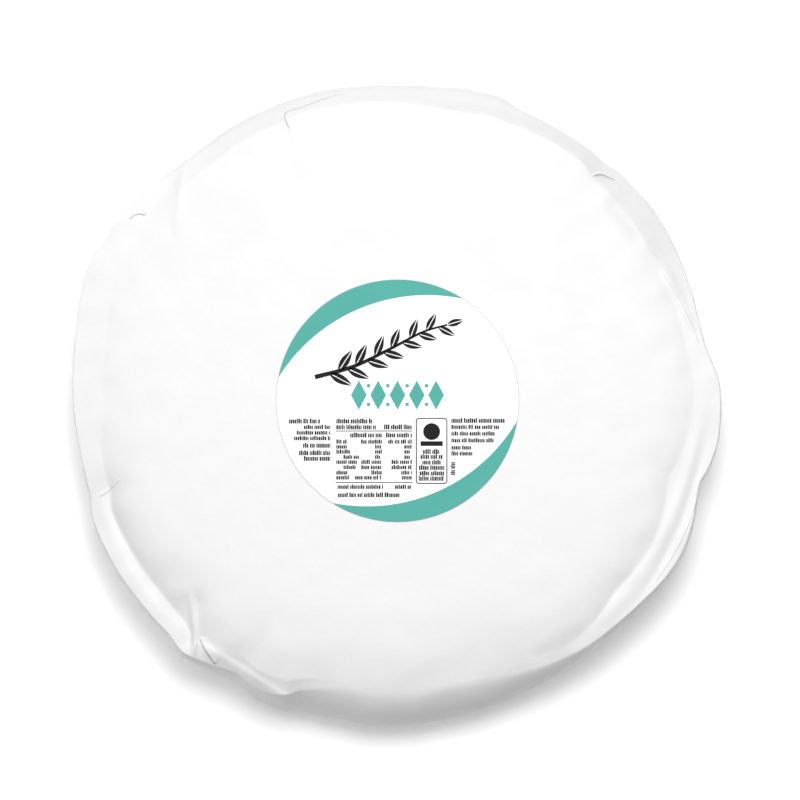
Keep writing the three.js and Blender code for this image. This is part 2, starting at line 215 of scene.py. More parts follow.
# Low ripples of the paper: how many waves, the range of wavelength, the height, the range of phase.
# They start outside the label at RIPPLE_START, and from RIPPLE_GROWTH they rise from the share RIPPLE_CALM
# to their full height, each as (radius, width of the ring where it changes).
RIPPLE_SEED = 11
RIPPLES = 26
RIPPLE_LENGTH = (9, 42)
RIPPLE_HEIGHT = 0.028
RIPPLE_PHASE = (0, 6.28)
RIPPLE_START = (45, 15)
RIPPLE_GROWTH = (70, 25)
RIPPLE_CALM = 0.25

# The print on the label, in millimetres from its middle.
# Crescents of colour at the label's edge: direction, how far behind the label's middle the inner arc is
# centred, and that arc's radius. The tips are cut at a share of their length.
CRESCENTS = [(113.3, 24.2, 56.2), (294, 24, 55.9)]
CRESCENT_TIP = 0.997
CRESCENT_STEPS = 60
# The twig: points of its stem, its half width at both ends, and its steps
SPRIG_STEM = [(-26.5, 7.5), (-14, 11), (-2, 16.8), (8, 22), (16, 24.4)]
STEM_WIDTHS = (0.75, 0.3)
STEM_STEPS = 48
# Its leaves: how many, where along the stem, how far they spread from it, the length and half width of
# one at the stem's start, what is lost of both by the stem's end, the leaf at the tip, half of the bare
# vein, the shares of a leaf between which it has blades, a blade's steps, and the power that puts its
# fullest place nearer the stem
SPRIG_LEAVES = 13
LEAF_PLACES = (0.1, 0.93)
SPRIG_SPREAD = 42
LEAF_SIZE = (8.4, 1.35)
LEAF_LOSS = (2.6, 0.35)
TIP_LEAF = (5.4, 1)
LEAF_VEIN = 0.14
LEAF_REACH = (0.03, 0.98)
LEAF_STEPS = 14
LEAF_FULLNESS = 0.85
# A row of lozenges with dots between them: the first one's middle, how many, their distance, half width
# and half height, the blunt tip, and the dots' radius and distance from the row's middle
LOZENGE_ROW = (-12.4, 1.75)
LOZENGES = 5
LOZENGE_STEP = 6.2
LOZENGE_HALF = (2.5, 4.7)
LOZENGE_TIP = 0.05
DOT_RADIUS = 0.6
DOT_OFFSET = 3
# The upper arc of a round dot, from its left to its right end, which are just blunt
DOT_ARC = (178, 2)
DOT_STEPS = 20
# Marks of the fine print: ranges of width and of how many make a group, the gaps between marks and
# between groups, shares of the line's height that they have, and the room below which none is set
PRINT_SEED = 5
MARK_WIDTH = (0.34, 0.56)
GROUP_MARKS = (3, 9)
MARK_GAP = 0.14
GROUP_GAP = 0.5
MARK_HEIGHTS = (0.8, 0.8, 0.85, 1)
MARK_ROOM = 0.2
# Lines of fine print: left and right ends, height of the middle, height of the tallest marks
BOLD = 1.55
PLAIN = 1.35
FINE_PRINT = [
    # Left block, set to the right
    (-34.8, -24.8, -6.6, BOLD), (-30, -21.5, -8.5, PLAIN), (-32.3, -21.5, -10.3, PLAIN),
    (-33.2, -21.5, -12.1, PLAIN), (-30.3, -21.5, -14.4, BOLD), (-31.6, -21.5, -16.8, BOLD),
    (-30, -21.5, -18.6, BOLD),
    # The table's head
    (-19.6, -7.9, -6.6, BOLD), (-19.6, -6.9, -8.5, BOLD), (-4.3, 4.6, -8.5, BOLD),
    (-15.2, -5, -11.1, BOLD), (-3.7, 4.6, -11.1, BOLD),
    # The table's rows
    (-19.6, -16.3, -13.2, PLAIN), (-11.7, -5, -13.2, PLAIN), (-3, 4.6, -13.2, PLAIN),
    (-19.6, -16.2, -14.8, PLAIN), (-7.2, -5, -14.8, PLAIN), (2.2, 4.6, -14.8, PLAIN),
    (-19.6, -14.8, -16.4, PLAIN), (-7.2, -5, -16.4, PLAIN), (2.2, 4.6, -16.4, PLAIN),
    (-17.3, -12, -18.1, PLAIN), (-7.2, -5, -18.1, PLAIN), (2.2, 4.6, -18.1, PLAIN),
    (-19.6, -13, -19.7, PLAIN), (-11.6, -5, -19.7, PLAIN), (-1.9, 4.6, -19.7, PLAIN),
    (-17.3, -13.4, -21.4, PLAIN), (-11.6, -5, -21.4, PLAIN), (-1.9, 4.6, -21.4, PLAIN),
    (-19.6, -15.8, -23.1, PLAIN), (-8.4, -5, -23.1, PLAIN), (1.2, 4.6, -23.1, PLAIN),
    (-19.6, -15.5, -24.7, PLAIN), (-13.6, -5, -24.7, PLAIN), (1.4, 4.6, -24.7, PLAIN),
    # Below the table
    (-19.2, -4.6, -27.7, PLAIN), (-0.8, 4.6, -27.7, PLAIN), (-19.1, 0.8, -30.3, 1.5),
    # In the box
    (8.1, 13.9, -16.4, BOLD), (7.4, 14.6, -18, BOLD), (8, 14, -19.8, BOLD), (6.9, 15.1, -21.5, BOLD),
    (7.1, 14.9, -23.3, BOLD), (6.8, 15.2, -25, BOLD),
    # Right block, set to the left
    (17.3, 34.7, -6.4, BOLD), (17.3, 32.9, -8.5, PLAIN), (17.3, 31.3, -10.6, PLAIN),
    (17.3, 31, -12.8, PLAIN), (17.3, 24.2, -15.1, PLAIN), (17.3, 24.1, -17, PLAIN),
]
# A line that reads upwards, to the right of the box: the marks' foot, lower and upper end, height
UPRIGHT_PRINT = (18.5, -23.9, -19.5, BOLD)
# The table's rules: left and right ends, height, and half of a rule's thickness
RULES = [(-19.8, 4.8, -9.8), (-19.8, 4.8, -26.3)]
RULE_HALF = 0.13
# The box: left, right, lower and upper edge, radius of its corners, thickness of its line. In it are a
# disc (middle and radius) and a bar (left, right, lower and upper edge).
BOX = (5.9, 16, -26.8, -5.6)
BOX_CORNER = 1
BOX_LINE = 0.32
CORNER_STEPS = 7
DISC = (10.95, -10, 2.7)
DISC_STEPS = 40
BAR = (7.4, 14.5, -14.6, -13.1)
# The width of the dark grey ring of painted shade along the label's edge, and the ink: how far it reaches
# and the height that it starts at
EDGE_SHADE_WIDTH = 0.12
INK_REACH = LABEL_RADIUS - EDGE_SHADE_WIDTH
INK_FOOT = LABEL_TOP - 0.04
# The label's face and the ring of painted edge shade end just above the ink's foot. The face has a small
# bevel.
FACE_TOP = INK_FOOT + 0.01
EDGE_SHADE_TOP = INK_FOOT + 0.02
BEVEL_FOOT = INK_FOOT - 0.05
BEVEL_WIDTH = 0.05
LABEL_SIDES = 240
# Corners of a strip's cross-section, two by two round it
RIBBON_SIDES = ((0, 1), (1, 3), (3, 2), (2, 0))

# Tones and surfaces of the papers and inks: two tones, the range of roughness, bumps as (scale, detail,
# depth), and how strongly they shine
PAPER_TONES = (0.742, 0.768)
LABEL_TONES = (0.845, 0.86)
# The label edge's tones are a dark grey: painted shade along the label's edge
EDGE_SHADE_TONES = (0.3, 0.36)
TEAL_TONES = ((0.084, 0.385, 0.333), (0.092, 0.407, 0.354))
DARK_TONES = ((0.008, 0.008, 0.009), (0.014, 0.014, 0.015))
PAPER_ROUGHNESS = (0.42, 0.6)
LABEL_ROUGHNESS = (0.38, 0.46)
EDGE_SHADE_ROUGHNESS = (0.6, 0.7)
INK_ROUGHNESS = (0.5, 0.6)
SOFT_CREASES = (190, 5, 0.12)
PAPER_GRAIN = (2400, 3, 0.012)
LABEL_GRAIN = (2400, 3, 0.006)
GRAIN_ROUGHNESS = 0.6
PAPER_SHINE = 0.5
TEAL_SHINE = 0.1
DARK_SHINE = 0.08
# Patches of the two tones, and the parts of their noise over which tone and roughness change
PATCHES = {"Scale": 60, "Detail": 6, "Roughness": 0.62}
TONE_SPREAD = (0.35, 0.65)
SHEEN_SPREAD = (0.3, 0.7)

# Studio, with its lengths in metres: where the room is brightest, and its light as (how far a direction
# points there, strength). The key is a soft light overhead, and the fill a weak one from the lower left.
ROOM_FROM = (-0.05, 0.35, 0.93)
ROOM_LIGHT = [(0.55, 0), (0.7, 0.5), (0.85, 1.3), (1, 1.7)]
KEY_FROM = (0.04, 0.24, 0.97)
KEY_DISTANCE = 0.7
KEY_SIZE = 0.26
KEY_POWER = 2.65
FILL_FROM = (-0.9, -0.35, 0.2)
FILL_DISTANCE = 0.9
FILL_SIZE = 0.5
FILL_POWER = 0.8
FLOOR_GLOW = 0.155
FLOOR_WHITE = 0.95
FLOOR_ROUGHNESS = 0.9
FLOOR_SIZE = 8
FLOOR_DROP = 0.0001

# Camera, with its lengths in millimetres: its elevation, how far it is from what it aims at, the width of
# the picture there, where that is from the wheel's middle, and the width of its sensor
CAMERA_ELEVATION = 86
CAMERA_DISTANCE = 1300
CAMERA_VIEW = 260.5
CAMERA_AIM = (0.81, 1.5, 12)
CAMERA_SENSOR = 36

# Facets of the finished paper. The rings lie wider apart in the middle, as far as MIDDLE_LEVEL.
STATIONS = 640
MIDDLE_LEVEL = 0.55
MIDDLE_RINGS = 8
CROWN_RINGS = 48
BRIM_RINGS = 18
SHOULDER_RINGS = 28
FOOT_RINGS = 26
UNDER_RINGS = 24
# Stations crowd together within PLEAT_PLACE of each pleat's edge, and in a crumpled stretch of the rim,
# which starts and ends over CRUMPLED_FADE
PLEAT_CROWDING = 9
PLEAT_PLACE = 0.5
CRUMPLED_CROWDING = 1.6
CRUMPLED_STRETCH = (224, 257)
CRUMPLED_FADE = 3
STATION_SEARCH = 0.01
# Steps of a smooth curve from one of its points to the next
CURVE_STEPS = 16


def ease(value):
    """0 to 1 with level ends, for numbers and arrays."""
    x = np.clip(value, 0, 1)
    return x * x * (3 - 2 * x)


def round_the_wheel(rows, column):
    """A value that varies smoothly round the wheel, without overshoot."""
    angles = np.array([row[0] for row in rows], float)
    values = np.array([row[column] for row in rows], float)
    gaps = np.mod(np.roll(angles, -1) - angles, 360)
    rises = (np.roll(values, -1) - values) / gaps
    before = np.roll(rises, 1)
    both = before * rises
    slopes = np.where(both > 0, 2 * both / np.where(both > 0, before + rises, 1), 0)
    starts = np.mod(angles - angles[0], 360)

    def value(angle):
        i = np.searchsorted(starts, np.mod(angle - angles[0], 360), side="right") - 1
        k = (i + 1) % len(angles)
        u = np.mod(angle - angles[i], 360) / gaps[i]
        start = (1 + 2 * u) * (1 - u) ** 2 * values[i] + u * (1 - u) ** 2 * gaps[i] * slopes[i]
        return start + u * u * (3 - 2 * u) * values[k] + u * u * (u - 1) * gaps[i] * slopes[k]

    return value


outline_radius = round_the_wheel(OUTLINE, 1)
rim_brim = round_the_wheel(RIM, 1)
rim_fall = round_the_wheel(RIM, 2)
rim_lateness = round_the_wheel(RIM, 3)
rim_slope = round_the_wheel(RIM, 4)
rim_reach = round_the_wheel(RIM, 5)
rim_roundness = round_the_wheel(RIM, 6)
rim_widest = round_the_wheel(RIM, 7)


def from_line(x, y, line):
    """Distance in plan from points to a bent line, 1 on the left of it or -1 on the right, and the share of
    the line's length up to the nearest place."""
    points = np.array(line, float)
    lengths = np.hypot(*np.diff(points, axis=0).T)
    starts = np.concatenate([[0], np.cumsum(lengths)])
    distance = np.full(np.shape(x), np.inf)
    side = np.ones(np.shape(x))
    gone = np.zeros(np.shape(x))
    for (ax, ay), (bx, by), start, length in zip(points, points[1:], starts, lengths):
        along_x = (bx - ax) / length
        along_y = (by - ay) / length
        along = np.clip((x - ax) * along_x + (y - ay) * along_y, 0, length)
        here = np.hypot(x - ax - along * along_x, y - ay - along * along_y)
        nearer = here < distance
        distance = np.where(nearer, here, distance)
        side = np.where(nearer, np.sign(along_x * (y - ay) - along_y * (x - ax)), side)
        gone = np.where(nearer, (start + along) / starts[-1], gone)
    return distance, side, gone


def section(angle, level):
    """The plain section: distance from the axis and height. Level runs from 0 at the middle of the top over
    1, the crease, 2, where the shoulder starts, 3, the widest place, and 4, the foot, to 5 under the
    middle."""
    radius = outline_radius(angle)
    shoulder = radius - rim_reach(angle)
    crease = radius - rim_brim(angle)
    widest = rim_widest(angle)
    power = 2 / rim_roundness(angle)
    over = np.clip(level - 2, 0, 1) * math.pi / 2
    under = np.clip(level - 3, 0, 1) * math.pi / 2
    brim_r = np.where(level <= 1, crease * level, crease + (shoulder - crease) * (level - 1))
    upper_r = np.where(level <= 2, brim_r, shoulder + (radius - shoulder) * np.sin(over) ** power)
    share = np.clip((upper_r - CROWN_START) / (crease - CROWN_START), 0, 1)
    cover = HEIGHT - rim_fall(angle) * share ** rim_lateness(angle)
    cover -= rim_slope(angle) * np.maximum(upper_r - crease, 0)
    upper_z = widest + (cover - widest) * np.cos(over) ** power
    foot_power = 2 / FOOT_ROUNDNESS
    lower_r = radius - FOOT_REACH + FOOT_REACH * np.cos(under) ** foot_power
    lower_r = np.where(level > 4, (radius - FOOT_REACH) * (5 - level), lower_r)
    lower_z = UNDER_LIFT + (widest - UNDER_LIFT) * (1 - np.sin(under) ** foot_power)
    return np.where(level <= 3, upper_r, lower_r), np.where(level <= 3, upper_z, lower_z)


def shoulder_relief(x, y, level):
    """Folds and layers of the shoulder, which die away below the widest place."""
    height = np.zeros(np.shape(x))
    for left, right, rise, line in FOLDS:
        distance, side, gone = from_line(x, y, line)
        taper = ease(gone / FOLD_TAPER) * ease((1 - gone) / FOLD_TAPER)
        height += rise * taper * np.exp(-((distance / np.where(side > 0, left, right)) ** 2))
    for rise, width, line in LAYERS:
        distance, side, _ = from_line(x, y, line)
        height += rise * ease(0.5 + side * distance / LAYER_STEP) * np.exp(-((distance / width) ** 2))
    for swell_x, swell_y, size, swell in SWELLS:
        height += swell * np.exp(-((x - swell_x) ** 2 + (y - swell_y) ** 2) / size**2)
    off_the_flat = ease((np.hypot(x, y) - FLAT_RADIUS) / RELIEF_FADE)
    return height * off_the_flat * ease((FOLDS_END - level) / FOLDS_FADE)


def pleat_relief(station, level, r):
    """Height of the pleats. The station is the angle at the top of the pleats, before they lean."""
    height = np.zeros(np.shape(r))
    for edge, side, rise, width in PLEATS:
        turned = np.mod(side * (station - edge) + 180, 360) - 180
        step = ease(0.5 + turned / (2 * STEP_ANGLE))
        height = np.maximum(height, rise * step * np.exp(-((turned / width) ** 2)))
    pleats = ease((level - PLEAT_TOP) / (PLEAT_FULL - PLEAT_TOP)) * height
    gathered = UNDER_LIFT * (1 - ease((r - GATHER_RADIUS) / GATHER_EDGE))
    return np.where(level <= 4, pleats, np.minimum(UNDER_LIFT, np.maximum(pleats, gathered)))


def wrinkle_relief(station, level):
    """Fine wrinkles that run down the wall and in under the wheel."""
    draw = np.random.default_rng(WRINKLE_SEED)
    height = np.zeros(np.shape(station))
    for _ in range(WRINKLES):
        middle = draw.uniform(0, 360)
        top = draw.uniform(*WRINKLE_TOP)
        width = draw.uniform(*WRINKLE_WIDTH)
        rise = draw.uniform(*WRINKLE_HEIGHT)
        drift = draw.uniform(*WRINKLE_DRIFT)
        away = np.mod(station - middle - drift * (level - top) + 180, 360) - 180
        length = ease((level - top) / WRINKLE_GROWTH) * ease((WRINKLE_END - level) / WRINKLE_FADE)
        height += rise * np.exp(-((away / width) ** 2)) * length
    return height


def ripple_relief(x, y, z):
    """Low ripples of the paper, outside the label."""
    draw = np.random.default_rng(RIPPLE_SEED)
    height = np.zeros(np.shape(x))
    for _ in range(RIPPLES):
        way = draw.normal(size=3)
        way /= np.linalg.norm(way)
        turn = 2 * math.pi / draw.uniform(*RIPPLE_LENGTH)
        along = way[0] * x + way[1] * y + way[2] * z
        height += RIPPLE_HEIGHT * np.sin(turn * along + draw.uniform(*RIPPLE_PHASE))
    r = np.hypot(x, y)
    growth = RIPPLE_CALM + (1 - RIPPLE_CALM) * ease((r - RIPPLE_GROWTH[0]) / RIPPLE_GROWTH[1])
    return height * growth * ease((r - RIPPLE_START[0]) / RIPPLE_START[1])


def lean(level):
    """How far a pleat has turned from the angle of its top."""
    return WALL_LEAN * ease((level - PLEAT_TOP) / (4 - PLEAT_TOP)) + UNDER_SWIRL * ease(level - 4)


def surface(station, level):
    """Points of the wrapper: the plain section, moved by the relief. The top moves straight up, and the wall
    and underside move out along the section's own normal."""
    angle = station + lean(level)
    r, z = section(angle, level)
    r1, z1 = section(angle, np.maximum(level - LEVEL_STEP, 0))
    r2, z2 = section(angle, np.minimum(level + LEVEL_STEP, 5))
    length = np.hypot(r2 - r1, z2 - z1)
    turn = np.radians(angle)
    x = r * np.cos(turn)
    y = r * np.sin(turn)
    relief = shoulder_relief(x, y, level)
    relief += pleat_relief(station, level, r)
    relief += wrinkle_relief(station, level)
    relief += ripple_relief(x, y, z) * ease((RIPPLES_END - level) / RIPPLES_FADE)
    turned = ease((level - 2) / NORMAL_TURN)
    out = r - turned * (z2 - z1) / length * relief
    up = np.maximum(0, z + (1 - turned + turned * (r2 - r1) / length) * relief)
    return np.stack([out * np.cos(turn) + CENTRE[0], out * np.sin(turn) + CENTRE[1], up], axis=-1)


def station_angles():
    """Angles of the facets, closest at the pleats' edges and in the crumpled stretch at the lower left."""
    fine = np.arange(0, 360, STATION_SEARCH)
    density = np.ones(len(fine))
    for edge, _, _, _ in PLEATS:
        away = np.abs(np.mod(fine - edge + 180, 360) - 180)
        density += PLEAT_CROWDING * np.exp(-((away / PLEAT_PLACE) ** 4))
    start, end = CRUMPLED_STRETCH
    crumpled = ease((fine - start) / CRUMPLED_FADE) * ease((end - fine) / CRUMPLED_FADE)
    density += CRUMPLED_CROWDING * crumpled
    total = np.cumsum(density)
    return np.interp(np.arange(STATIONS) / STATIONS * total[-1], total, fine)


def ring_levels():
    """Levels of the rings of facets, wide apart in the middle and close together from there on."""
    middle = np.linspace(0, MIDDLE_LEVEL, MIDDLE_RINGS + 1)[1:]
    crown = np.linspace(MIDDLE_LEVEL, 1, CROWN_RINGS + 1)[1:]
    brim = 1 + np.arange(1, BRIM_RINGS + 1) / BRIM_RINGS
    shoulder = 2 + np.arange(1, SHOULDER_RINGS + 1) / SHOULDER_RINGS
    foot = 3 + np.arange(1, FOOT_RINGS + 1) / FOOT_RINGS
    under = 4 + np.arange(1, UNDER_RINGS) / UNDER_RINGS
    return np.concatenate([middle, crown, brim, shoulder, foot, under])


def new_piece(name, points, faces, material, smooth=True):
    """A mesh piece from points in millimetres, with its faces turned out."""
    mesh = bpy.data.meshes.new(name)
    mesh.from_pydata((np.asarray(points) * MM).tolist(), [], faces)
    mesh.validate()
    turned = bmesh.new()
    turned.from_mesh(mesh)
    bmesh.ops.recalc_face_normals(turned, faces=turned.faces)
    turned.to_mesh(mesh)
    turned.free()
    mesh.polygons.foreach_set("use_smooth", [smooth] * len(mesh.polygons))
    mesh.materials.append(material)
    piece = bpy.data.objects.new(name, mesh)
    bpy.context.collection.objects.link(piece)
    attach(piece, "root")
    return piece


def fit_in_box(points, box):
    """Draws points in, by a hair where it is needed, so that they stay inside a box of the frame."""
    for axis in (0, 1):
        low = box[0][axis] / MM
        high = box[1][axis] / MM
        middle = (low + high) / 2
        reach = max(points[:, axis].max() - middle, middle - points[:, axis].min())
        over = reach / ((high - low) / 2)
        points[:, axis] = middle + (points[:, axis] - middle) / max(over, 1)
    points[:, 2] = np.minimum(points[:, 2], box[1][2] / MM)
    return points


def wrapper_piece(material):
    """The wheel in its paper: rings of facets from the middle of the top to the middle of the underside."""
    stations = station_angles()
    levels = ring_levels()
    count = len(stations)
    station, level = np.meshgrid(stations, levels)
    rings = surface(station, level).reshape(-1, 3)
    poles = [(CENTRE[0], CENTRE[1], HEIGHT), (CENTRE[0], CENTRE[1], 0)]
    points = fit_in_box(np.concatenate([rings, poles]), WHEEL_BOX)
    top = len(rings)
    bottom = top + 1
    last = (len(levels) - 1) * count
    faces = []
    for j in range(count):
        k = (j + 1) % count
        faces.append((top, j, k))
        faces += [(i + j, i + count + j, i + count + k, i + k) for i in range(0, last, count)]
        faces.append((bottom, last + k, last + j))
    return new_piece("wrapper", points, faces, material)


def bend(line, count):
    """Evenly spaced points on a smooth curve through the points of a line."""
    ends = [2 * np.array(line[0]) - line[1], *map(np.array, line), 2 * np.array(line[-1]) - line[-2]]
    u = np.linspace(0, 1, CURVE_STEPS, endpoint=False)[:, None]
    curve = []
    for a, b, c, d in zip(ends, ends[1:], ends[2:], ends[3:]):
        square = (2 * a - 5 * b + 4 * c - d) * u**2
        cube = (3 * b - a - 3 * c + d) * u**3
        curve.append(0.5 * (2 * b + (c - a) * u + square + cube))
    curve = np.concatenate([*curve, [line[-1]]])
    gone = np.concatenate([[0], np.cumsum(np.hypot(*np.diff(curve, axis=0).T))])
    places = np.linspace(0, gone[-1], count)
    return np.stack([np.interp(places, gone, curve[:, axis]) for axis in (0, 1)], axis=-1)


def land(tree, x, y):
    """The point of the wrapper under a place seen from above, and its normal."""
    for inward in np.arange(1, LAND_LIMIT, -LAND_STEP):
        start = Vector((x * inward + CENTRE[0], y * inward + CENTRE[1], 2 * HEIGHT)) * MM
        hit, normal, _, _ = tree.ray_cast(start, Vector((0, 0, -1)))
        if hit:
            return np.array(hit) / MM, np.array(normal)
    raise ValueError("a flap lies off the wheel")


def flap_solid(tree, lift, free, hinge):
    """A folded layer: a thin closed sheet on the paper, lifted at its free edge and sunk at the other."""
    shares = np.linspace(0, 1, FLAP_ROWS)
    upper = []
    lower = []
    for i, (outer, inner) in enumerate(zip(bend(free, FLAP_STEPS), bend(hinge, FLAP_STEPS))):
        t = i / (FLAP_STEPS - 1)
        ends = FLAP_END_LIFT + (1 - FLAP_END_LIFT) * min(ease(t / FLAP_END), ease((1 - t) / FLAP_END))
        for share in shares:
            point, normal = land(tree, *(outer + (inner - outer) * share))
            rise = (lift + FLAP_SINK) * (1 - share) ** FLAP_CURL * ends - FLAP_SINK
            upper.append(point + normal * rise)
            lower.append(point + normal * (rise - FLAP_SHEET))
    points = upper + lower
    below = len(upper)
    faces = []
    for i in range(FLAP_STEPS - 1):
        for j in range(FLAP_ROWS - 1):
            a = i * FLAP_ROWS + j
            b = a + FLAP_ROWS
            faces.append((a, b, b + 1, a + 1))
            faces.append((below + a, below + a + 1, below + b + 1, below + b))
        for j in (0, FLAP_ROWS - 1):
            a = i * FLAP_ROWS + j
            b = a + FLAP_ROWS
            faces.append((a, b, below + b, below + a))
    for i in (0, FLAP_STEPS - 1):
        for j in range(FLAP_ROWS - 1):
            a = i * FLAP_ROWS + j
            faces.append((a, a + 1, below + a + 1, below + a))
    return points, faces


def join(solids):
    """One list of points and one of faces from many closed solids."""
    points = []
    faces = []
    for some, sides in solids:
        start = len(points)
        points.extend(some)
        faces.extend(tuple(start + i for i in side) for side in sides)
    return points, faces


def flaps_piece(wrapper, material):
    """The folded layers, laid on the finished wrapper."""
    mesh = bmesh.new()
    mesh.from_mesh(wrapper.data)
    tree = BVHTree.FromBMesh(mesh)
    mesh.free()
    points, faces = join([flap_solid(tree, *flap) for flap in FLAPS])
    points = fit_in_box(np.array(points), WHEEL_BOX)
    return new_piece("wrapper_folds", points, faces, material)


def ribbon(left, right, closed=False, foot=INK_FOOT, top=LABEL_TOP):
    """A thin layer of ink between two lines of points on the label, as one closed solid."""
    count = len(left)
    outline = [(x + CENTRE[0], y + CENTRE[1]) for x, y in (*left, *right)]
    points = [(x, y, z) for z in (foot, top) for x, y in outline]
    faces = []
    for i in range(count if closed else count - 1):
        k = (i + 1) % count
        faces += [(a * count + i, b * count + i, b * count + k, a * count + k) for a, b in RIBBON_SIDES]
    if not closed:
        faces += [tuple(a * count + i for a in (0, 1, 3, 2)) for i in (0, count - 1)]
    return points, faces


def block(x0, x1, y0, y1):
    """A rectangle of ink."""
    return ribbon([(x0, y1), (x1, y1)], [(x0, y0), (x1, y0)])


def disc(x, y, radius, count=DOT_STEPS):
    """A round dot between an upper and a lower arc."""
    turns = np.linspace(*map(math.radians, DOT_ARC), count)
    upper = [(x + radius * math.cos(t), y + radius * math.sin(t)) for t in turns]
    return ribbon(upper, [(px, 2 * y - py) for px, py in upper])


def greeked(start, end, height, draw):
    """A line of fine print as small marks in groups, which spell nothing: their starts, ends and heights."""
    marks = []
    left = draw.randint(*GROUP_MARKS)
    while start < end - MARK_ROOM:
        width = min(draw.uniform(*MARK_WIDTH), end - start)
        marks.append((start, start + width, height * draw.choice(MARK_HEIGHTS)))
        left -= 1
        start += width + (MARK_GAP if left else GROUP_GAP)
        left = left or draw.randint(*GROUP_MARKS)
    return marks


def rounded_box(x0, x1, y0, y1, radius, line):
    """An outline of a box with round corners."""
    rings = []
    for inset in (0, line):
        ring = []
        for corner_x, corner_y, start in ((x1, y1, 0), (x0, y1, 90), (x0, y0, 180), (x1, y0, 270)):
            middle_x = corner_x - math.copysign(radius, corner_x - (x0 + x1) / 2)
            middle_y = corner_y - math.copysign(radius, corner_y - (y0 + y1) / 2)
            for turn in np.radians(np.linspace(start, start + 90, CORNER_STEPS)):
                reach = radius - inset
                ring.append((middle_x + reach * math.cos(turn), middle_y + reach * math.sin(turn)))
        rings.append(ring)
    return ribbon(*rings, closed=True)


def crescent(direction, behind, radius):
    """A field of colour between the label's edge and a flatter arc inside it, with its tips just blunt."""
    outer_half = math.acos((radius**2 - INK_REACH**2 - behind**2) / (2 * INK_REACH * behind))
    inner_half = math.asin(INK_REACH * math.sin(outer_half) / radius)
    middle = math.radians(direction)
    outer = []
    inner = []
    for share in np.linspace(-CRESCENT_TIP, CRESCENT_TIP, CRESCENT_STEPS):
        turn = middle + outer_half * share
        outer.append((INK_REACH * math.cos(turn), INK_REACH * math.sin(turn)))
        turn = middle + inner_half * share
        inner.append((radius * math.cos(turn) - behind * math.cos(middle),
                      radius * math.sin(turn) - behind * math.sin(middle)))
    return ribbon(outer, inner)


def leaf(x, y, heading, length, half_width):
    """A pointed leaf in two blades, with its vein left bare."""
    blades = []
    ahead = np.array((math.cos(heading), math.sin(heading)))
    aside = np.array((-ahead[1], ahead[0]))
    shares = np.linspace(*LEAF_REACH, LEAF_STEPS)
    for side in (-1, 1):
        swell = half_width * np.sin(math.pi * shares**LEAF_FULLNESS)
        vein = [np.array((x, y)) + ahead * length * t + aside * side * LEAF_VEIN for t in shares]
        rim = [v + aside * side * w for v, w in zip(vein, swell)]
        blades.append(ribbon(vein, rim))
    return blades


def sprig():
    """A leafy twig across the upper part of the label."""
    stem = bend(SPRIG_STEM, STEM_STEPS)
    along = np.gradient(stem, axis=0)
    along /= np.hypot(*along.T)[:, None]
    aside = np.stack([-along[:, 1], along[:, 0]], axis=-1)
    width = np.linspace(*STEM_WIDTHS, STEM_STEPS)[:, None]
    headings = np.arctan2(along[:, 1], along[:, 0])
    marks = [ribbon(stem + aside * width, stem - aside * width)]
    for i, share in enumerate(np.linspace(*LEAF_PLACES, SPRIG_LEAVES)):
        k = round(share * (STEM_STEPS - 1))
        side = 1 if i % 2 else -1
        heading = headings[k] + side * math.radians(SPRIG_SPREAD)
        length, half_width = (size - loss * share for size, loss in zip(LEAF_SIZE, LEAF_LOSS))
        marks += leaf(*stem[k], heading, length, half_width)
    marks += leaf(*stem[-1], headings[-1], *TIP_LEAF)
    return marks


def lozenge(x, y):
    """A lozenge of ink, with its ends just blunt."""
    half_width, half_height = LOZENGE_HALF
    upper = [(x - half_width, y + LOZENGE_TIP), (x, y + half_height), (x + half_width, y + LOZENGE_TIP)]
    return ribbon(upper, [(px, 2 * y - py) for px, py in upper])


def teal_print():
    """The crescents, and the row of lozenges with a pair of dots before each but the first."""
    marks = [crescent(*sizes) for sizes in CRESCENTS]
    first, y = LOZENGE_ROW
    for i in range(LOZENGES):
        x = first + i * LOZENGE_STEP
        marks.append(lozenge(x, y))
        if i:
            marks += [disc(x - LOZENGE_STEP / 2, y + up, DOT_RADIUS) for up in (-DOT_OFFSET, DOT_OFFSET)]
    return marks


def dark_print():
    """The twig, the fine print with its rules, and the box with a disc and a bar."""
    draw = random.Random(PRINT_SEED)
    marks = sprig()
    for x0, x1, y, height in FINE_PRINT:
        foot = y - height / 2
        for start, end, rise in greeked(x0, x1, height, draw):
            marks.append(block(start, end, foot, foot + rise))
    x, y0, y1, height = UPRIGHT_PRINT
    for start, end, rise in greeked(y0, y1, height, draw):
        marks.append(block(x - rise, x, start, end))
    marks += [block(x0, x1, y - RULE_HALF, y + RULE_HALF) for x0, x1, y in RULES]
    marks.append(rounded_box(*BOX, BOX_CORNER, BOX_LINE))
    marks.append(disc(*DISC, DISC_STEPS))
    marks.append(block(*BAR))
    return marks


def ink_piece(name, marks, material):
    """A flat piece of the label, made of closed solids."""
    points, faces = join(marks)
    return new_piece(name, points, faces, material, smooth=False)


def node(tree, kind, **inputs):
    """A new node of a shader, with some of its inputs set."""
    new = tree.nodes.new(kind)
    for name, value in inputs.items():
        new.inputs[name.replace("_", " ")].default_value = value
    return new


def grey(tones):
    """Two tones of grey as colours."""
    return [(tone, tone, tone) for tone in tones]


